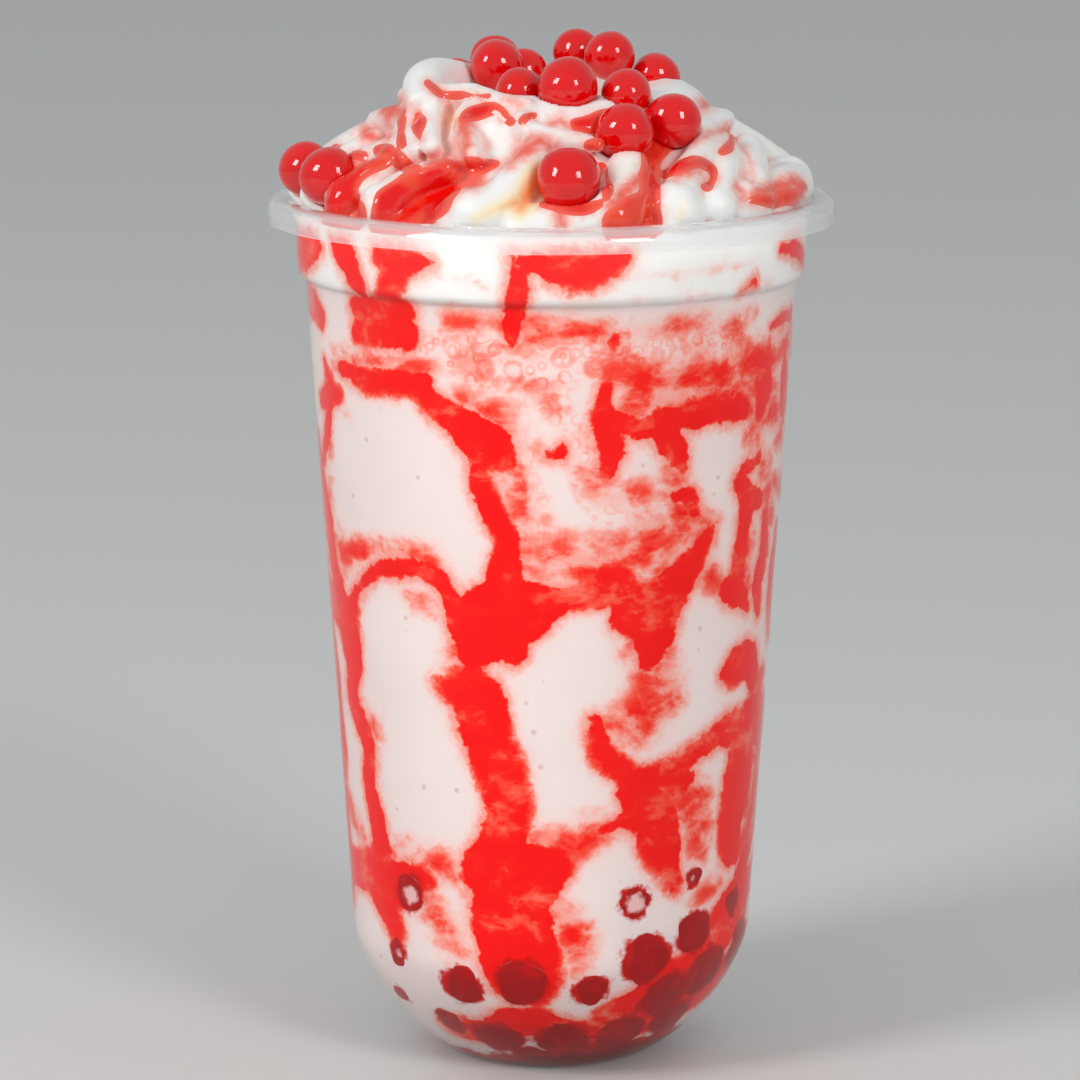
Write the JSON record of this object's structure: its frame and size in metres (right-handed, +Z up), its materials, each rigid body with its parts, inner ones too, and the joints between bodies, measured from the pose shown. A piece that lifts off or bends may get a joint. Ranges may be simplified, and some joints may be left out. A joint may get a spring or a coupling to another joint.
{
  "type": "strawberry smoothie",
  "caption": "Tall clear cup with a round bottom, filled with a syrup-streaked strawberry milk smoothie under a piped swirl of whipped cream, red sauce and popping pearls.",
  "frame": {"origin": "middle of the cup's flat base", "axes": "+Z up along the cup's axis, -Y the front that carries the single pearl near the rim, +X to the right of that front"},
  "size_m": [0.09, 0.09, 0.1645],
  "materials": {
    "clear_plastic": "clear polypropylene, slightly milky at the rim",
    "smoothie": "wet against the wall, pale pink with red syrup streaks",
    "cream": "soft satin whipped cream",
    "pearl": "glossy red popping pearls and sauce"
  },
  "bodies": {
    "root": {"cup": "clear_plastic", "smoothie": "smoothie", "cream": "cream", "pearl_01": "pearl", "pearl_02": "pearl", "pearl_03": "pearl", "pearl_04": "pearl", "pearl_05": "pearl", "pearl_06": "pearl", "pearl_07": "pearl", "pearl_08": "pearl", "pearl_09": "pearl", "pearl_10": "pearl", "pearl_11": "pearl", "pearl_12": "pearl", "pearl_13": "pearl", "pearl_14": "pearl", "pearl_15": "pearl"}
  },
  "joints": []
}
